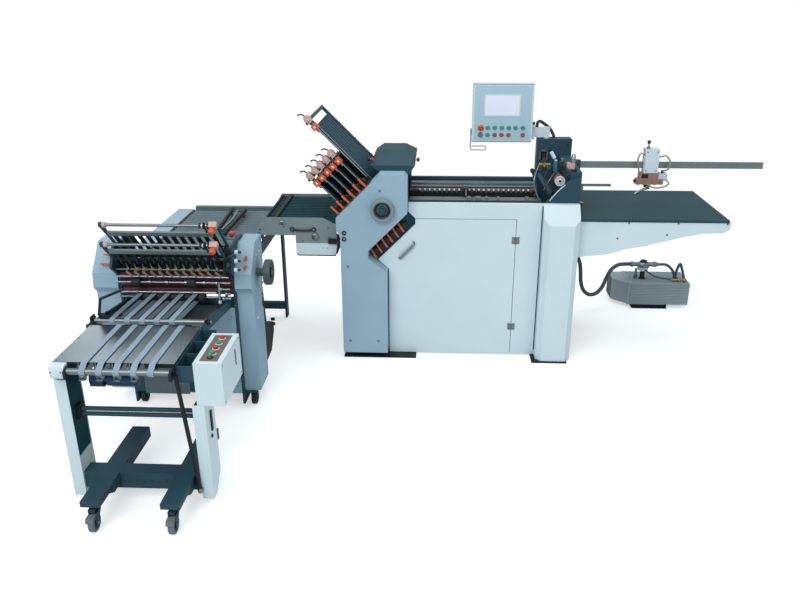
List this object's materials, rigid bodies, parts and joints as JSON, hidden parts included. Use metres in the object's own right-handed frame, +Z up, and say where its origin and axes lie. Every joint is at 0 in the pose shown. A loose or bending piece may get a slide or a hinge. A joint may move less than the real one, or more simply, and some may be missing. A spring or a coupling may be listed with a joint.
{
  "type": "combination paper folding machine",
  "caption": "Floor-standing paper folder: suction feed table, buckle-plate fold unit with side cabinet, belt transfer, right-angle fold unit and wheeled delivery stacker.",
  "frame": {"origin": "centre of the whole machine's plan outline, on the floor it stands on", "axes": "+X towards the feed table at the operator's right, -Y towards the operator, +Z up"},
  "size_m": [3.4646, 2.6666, 1.473],
  "materials": {
    "white_paint": "semi-gloss white powder coat with a cool cast",
    "blue_grey_paint": "satin light blue-grey paint",
    "slate_paint": "satin dark slate paint",
    "black_paint": "satin black paint",
    "steel": "ground and brushed steel",
    "aluminium": "satin aluminium",
    "blue_paint": "gloss blue motor paint",
    "red_plastic": "gloss red moulding",
    "green_plastic": "gloss green moulding",
    "black_plastic": "matt black moulding",
    "rubber": "grey rubber tread",
    "hose_rubber": "black corrugated hose",
    "polyurethane": "fold roller with steel and polyurethane strips"
  },
  "bodies": {
    "machine": {"main_base": "black_paint", "front_side_frame": "slate_paint", "rear_side_frame": "slate_paint", "fold_cover_front": "blue_grey_paint", "rear_cover": "blue_grey_paint", "front_panel": "white_paint", "corner_column": "white_paint", "lower_buckle_plates": "black_paint", "register_bed": "steel", "feed_bracket_front": "slate_paint", "feed_head": "slate_paint", "feed_table": "slate_paint", "feed_table_frame": "white_paint", "suction_rail": "steel", "control_conduit": "hose_rubber", "vacuum_pump": "slate_paint", "pump_hose": "hose_rubber", "transfer_conveyor": "slate_paint", "transfer_drive_box": "white_paint", "cross_frame": "slate_paint", "cross_register_table": "blue_grey_paint", "cross_cover_right": "blue_grey_paint", "cross_cover_left": "blue_grey_paint", "stacker_base": "slate_paint", "stacker_column_left": "white_paint", "stacker_column_right": "white_paint", "delivery_table": "steel", "delivery_motor": "blue_paint", "stacker_control_box": "white_paint"},
    "service_door": {"service_door": "white_paint"},
    "sound_hood": {"sound_hood": "slate_paint"},
    "suction_head": {"suction_head": "white_paint"},
    "suction_lever": {"suction_lever": "black_plastic"},
    "control_arm": {"control_arm": "white_paint"},
    "control_panel": {"control_panel": "white_paint"},
    "emergency_button": {"emergency_button": "red_plastic"},
    "first_fold_roller": {"fold_roller_1": "polyurethane", "main_handwheel": "aluminium"},
    "second_fold_roller": {"fold_roller_2": "polyurethane"},
    "third_fold_roller": {"fold_roller_3": "polyurethane"},
    "feed_wheel": {"feed_wheel": "red_plastic"},
    "cross_fold_drive": {"cross_fold_roller": "polyurethane", "cross_handwheel": "aluminium"},
    "delivery_roller": {"delivery_roller": "steel"},
    "caster_fork_left": {"caster_fork_left": "steel"},
    "caster_fork_right": {"caster_fork_right": "steel"},
    "caster_wheel_left": {"caster_wheel_left": "rubber"},
    "caster_wheel_right": {"caster_wheel_right": "rubber"},
    "cross_wheel_left": {"cross_wheel_left": "rubber"},
    "cross_wheel_right": {"cross_wheel_right": "rubber"},
    "stacker_start_button": {"stacker_start_button": "green_plastic"},
    "stacker_stop_button": {"stacker_stop_button": "red_plastic"},
    "buckle_plate_1": {"buckle_plate_1": "slate_paint"},
    "buckle_plate_2": {"buckle_plate_2": "slate_paint"},
    "buckle_plate_3": {"buckle_plate_3": "slate_paint"},
    "buckle_plate_4": {"buckle_plate_4": "slate_paint"},
    "buckle_plate_5": {"buckle_plate_5": "slate_paint"},
    "buckle_plate_6": {"buckle_plate_6": "slate_paint"},
    "cross_buckle_plate_1": {"cross_buckle_plate_1": "slate_paint"},
    "cross_buckle_plate_2": {"cross_buckle_plate_2": "slate_paint"}
  },
  "joints": [
    {"name": "door_hinge", "type": "hinge", "parent": "machine", "child": "service_door", "pos_m": [0.344, 0.3283, 0.011], "axis": [0, 0, 1], "range_deg": [0, 110]},
    {"name": "hood_hinge", "type": "hinge", "parent": "machine", "child": "sound_hood", "pos_m": [-0.329, 0.845, 1.0983], "axis": [-1, 0, 0], "range_deg": [0, 60]},
    {"name": "suction_head_slide", "type": "slide", "parent": "machine", "child": "suction_head", "axis": [1, 0, 0], "range_m": [-0.34, 0.515]},
    {"name": "suction_lever_pivot", "type": "hinge", "parent": "suction_head", "child": "suction_lever", "pos_m": [1.085, 0.6443, 1.159], "axis": [0, 1, 0], "range_deg": [-30, 30]},
    {"name": "control_arm_swivel", "type": "hinge", "parent": "machine", "child": "control_arm", "pos_m": [0.548, 0.8903, 1.1553], "axis": [0, 0, 1], "range_deg": [-30, 75]},
    {"name": "control_panel_swivel", "type": "hinge", "parent": "control_arm", "child": "control_panel", "pos_m": [0.469, 0.8903, 1.141], "axis": [0, 0, 1], "range_deg": [-30, 30]},
    {"name": "emergency_button_press", "type": "slide", "parent": "control_panel", "child": "emergency_button", "axis": [0, 1, 0], "range_m": [0, 0.004], "stiffness_N_per_m": 900, "springref_m": -0.002},
    {"name": "first_roller_spin", "type": "hinge", "parent": "machine", "child": "first_fold_roller", "pos_m": [-0.3783, 0.3753, 0.8853], "axis": [0, 1, 0], "continuous": true},
    {"name": "second_roller_spin", "type": "hinge", "parent": "machine", "child": "second_fold_roller", "pos_m": [-0.4221, 0.3753, 0.8415], "axis": [0, 1, 0], "continuous": true},
    {"name": "third_roller_spin", "type": "hinge", "parent": "machine", "child": "third_fold_roller", "pos_m": [-0.466, 0.3753, 0.7976], "axis": [0, 1, 0], "continuous": true},
    {"name": "feed_wheel_spin", "type": "hinge", "parent": "machine", "child": "feed_wheel", "pos_m": [0.574, 0.4173, 1.007], "axis": [0, 1, 0], "continuous": true},
    {"name": "cross_roller_spin", "type": "hinge", "parent": "machine", "child": "cross_fold_drive", "pos_m": [-1.597, -0.2017, 0.69], "axis": [1, 0, 0], "continuous": true},
    {"name": "delivery_roller_spin", "type": "hinge", "parent": "machine", "child": "delivery_roller", "pos_m": [-1.089, -1.1547, 0.6265], "axis": [1, 0, 0], "continuous": true},
    {"name": "caster_left_swivel", "type": "hinge", "parent": "machine", "child": "caster_fork_left", "pos_m": [-1.412, -1.2687, 0.1147], "axis": [0, 0, 1], "continuous": true},
    {"name": "caster_left_roll", "type": "hinge", "parent": "caster_fork_left", "child": "caster_wheel_left", "pos_m": [-1.412, -1.2957, 0.0375], "axis": [1, 0, 0], "continuous": true},
    {"name": "cross_wheel_left_roll", "type": "hinge", "parent": "machine", "child": "cross_wheel_left", "pos_m": [-1.577, -0.2767, 0.036], "axis": [1, 0, 0], "continuous": true},
    {"name": "caster_right_swivel", "type": "hinge", "parent": "machine", "child": "caster_fork_right", "pos_m": [-1.097, -1.2687, 0.1147], "axis": [0, 0, 1], "continuous": true},
    {"name": "caster_right_roll", "type": "hinge", "parent": "caster_fork_right", "child": "caster_wheel_right", "pos_m": [-1.097, -1.2957, 0.0375], "axis": [1, 0, 0], "continuous": true},
    {"name": "cross_wheel_right_roll", "type": "hinge", "parent": "machine", "child": "cross_wheel_right", "pos_m": [-1.005, -0.2767, 0.036], "axis": [1, 0, 0], "continuous": true},
    {"name": "stacker_start_press", "type": "slide", "parent": "machine", "child": "stacker_start_button", "axis": [0, 0, -1], "range_m": [0, 0.003], "stiffness_N_per_m": 400, "springref_m": -0.002},
    {"name": "stacker_stop_press", "type": "slide", "parent": "machine", "child": "stacker_stop_button", "axis": [0, 0, -1], "range_m": [0, 0.003], "stiffness_N_per_m": 400, "springref_m": -0.002},
    {"name": "buckle_plate_1_slide", "type": "slide", "parent": "machine", "child": "buckle_plate_1", "axis": [-0.7071, 0, 0.7071], "range_m": [0, 0.08]},
    {"name": "buckle_plate_2_slide", "type": "slide", "parent": "machine", "child": "buckle_plate_2", "axis": [-0.7071, 0, 0.7071], "range_m": [0, 0.08]},
    {"name": "buckle_plate_3_slide", "type": "slide", "parent": "machine", "child": "buckle_plate_3", "axis": [-0.7071, 0, 0.7071], "range_m": [0, 0.08]},
    {"name": "buckle_plate_4_slide", "type": "slide", "parent": "machine", "child": "buckle_plate_4", "axis": [-0.7071, 0, 0.7071], "range_m": [0, 0.08]},
    {"name": "buckle_plate_5_slide", "type": "slide", "parent": "machine", "child": "buckle_plate_5", "axis": [-0.7071, 0, 0.7071], "range_m": [0, 0.08]},
    {"name": "buckle_plate_6_slide", "type": "slide", "parent": "machine", "child": "buckle_plate_6", "axis": [-0.7071, 0, 0.7071], "range_m": [0, 0.08]},
    {"name": "cross_plate_1_slide", "type": "slide", "parent": "machine", "child": "cross_buckle_plate_1", "axis": [0, -0.7071, 0.7071], "range_m": [0, 0.08]},
    {"name": "cross_plate_2_slide", "type": "slide", "parent": "machine", "child": "cross_buckle_plate_2", "axis": [0, -0.7071, 0.7071], "range_m": [0, 0.08]}
  ],
  "couplings": [
    {"joint": "second_roller_spin", "follows": "first_roller_spin", "ratio": -1},
    {"joint": "third_roller_spin", "follows": "first_roller_spin", "ratio": 1}
  ]
}
